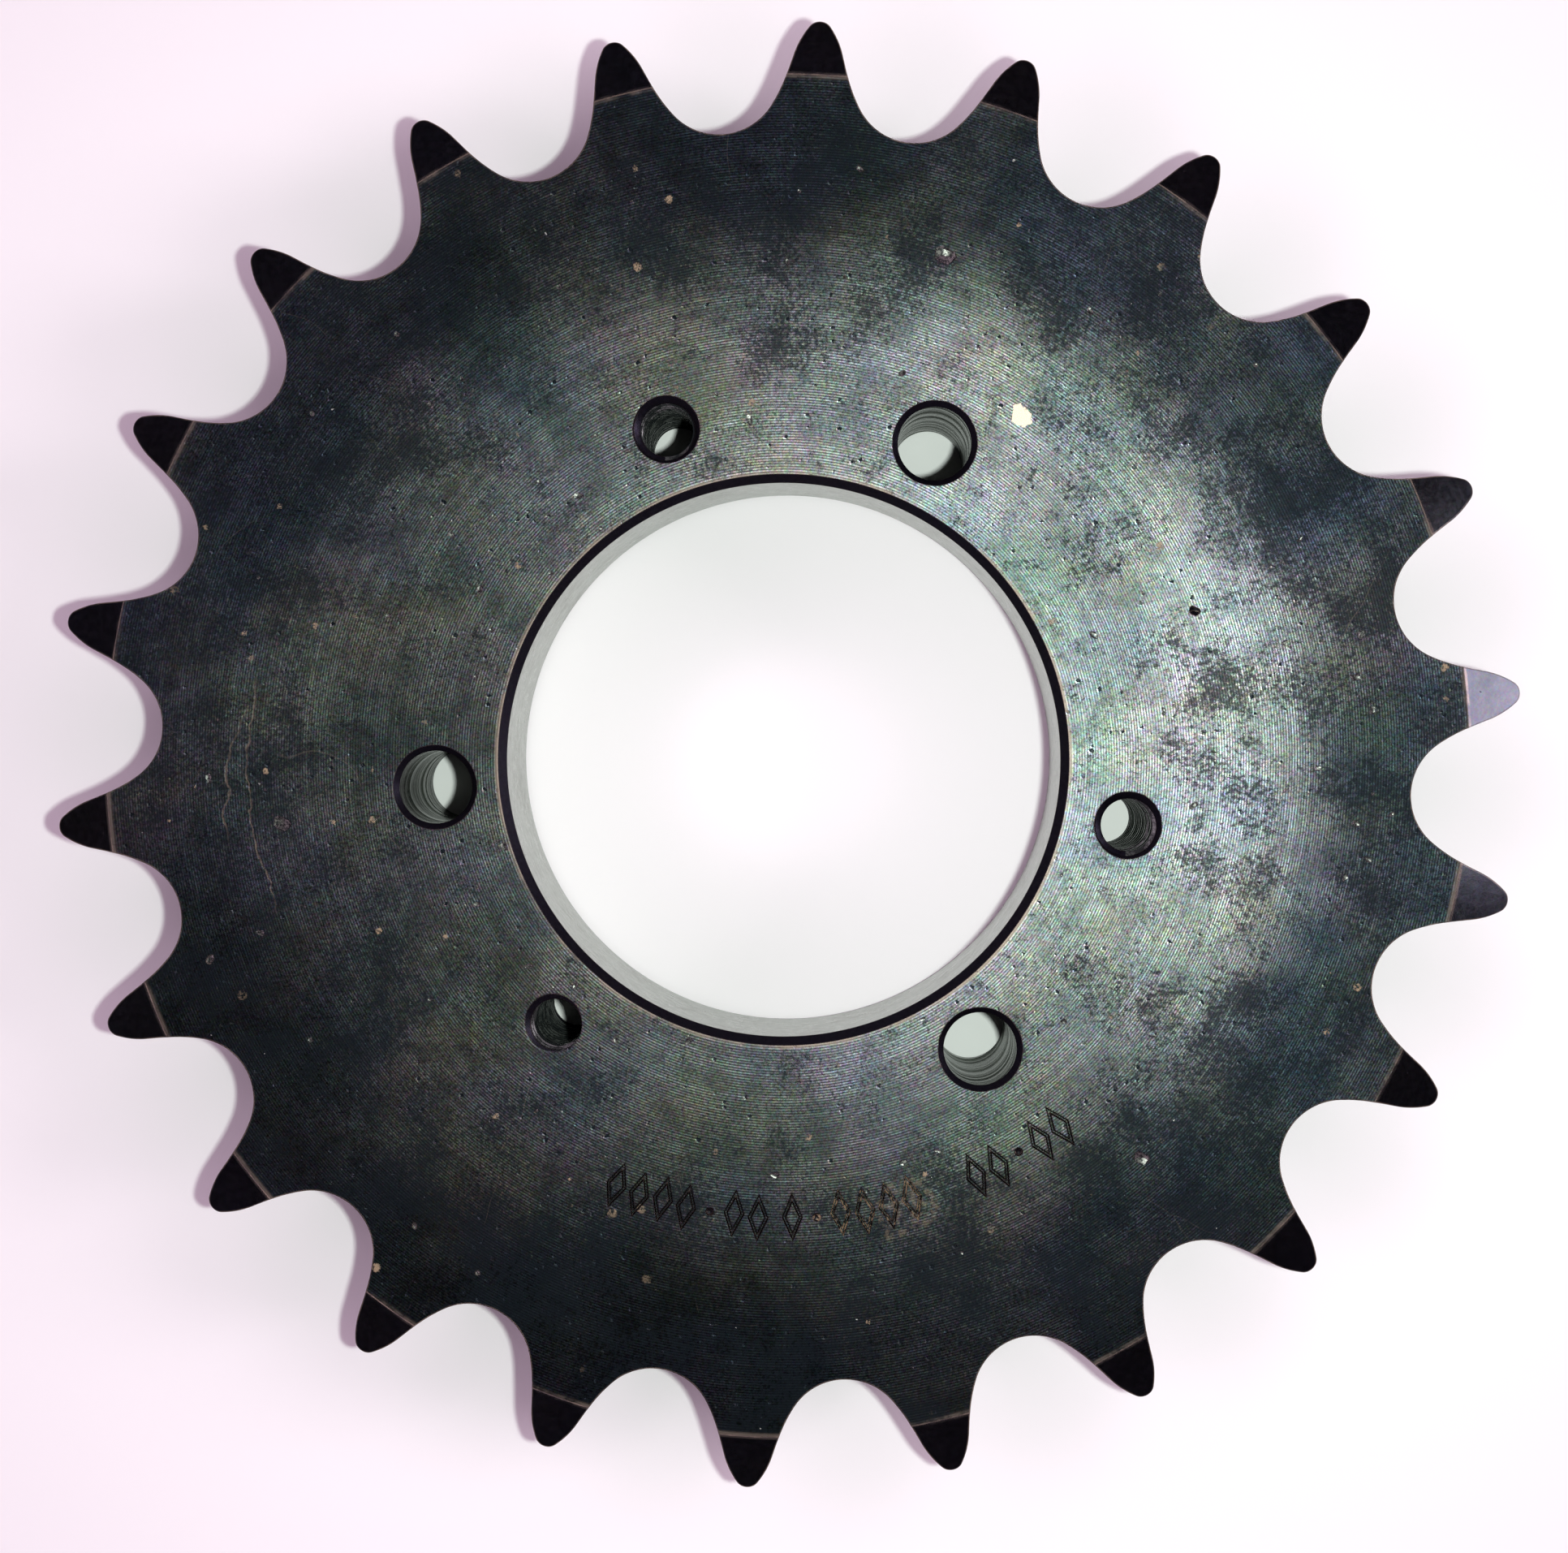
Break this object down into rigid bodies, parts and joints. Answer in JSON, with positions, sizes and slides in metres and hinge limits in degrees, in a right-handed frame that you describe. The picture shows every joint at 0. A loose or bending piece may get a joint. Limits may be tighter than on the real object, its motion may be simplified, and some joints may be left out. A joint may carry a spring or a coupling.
{
  "type": "roller chain sprocket",
  "caption": "Flat toothed chain wheel with a short hub on one side, a tapered bore for a clamping bushing, and drilled and tapped holes on one bolt circle.",
  "frame": {"origin": "on the bore's axis, in the plane of the hub's face, which the part lies on", "axes": "+Z along the bore's axis from the hub's face to the plain face; a clamp screw hole lies at 180 degrees, on -X"},
  "size_m": [0.1444, 0.1434, 0.0191],
  "materials": {
    "black_oxide_steel": "black oxide over fine concentric turning marks, half matt, bare steel in the bore"
  },
  "bodies": {
    "root": {"sprocket": "black_oxide_steel"}
  },
  "joints": []
}
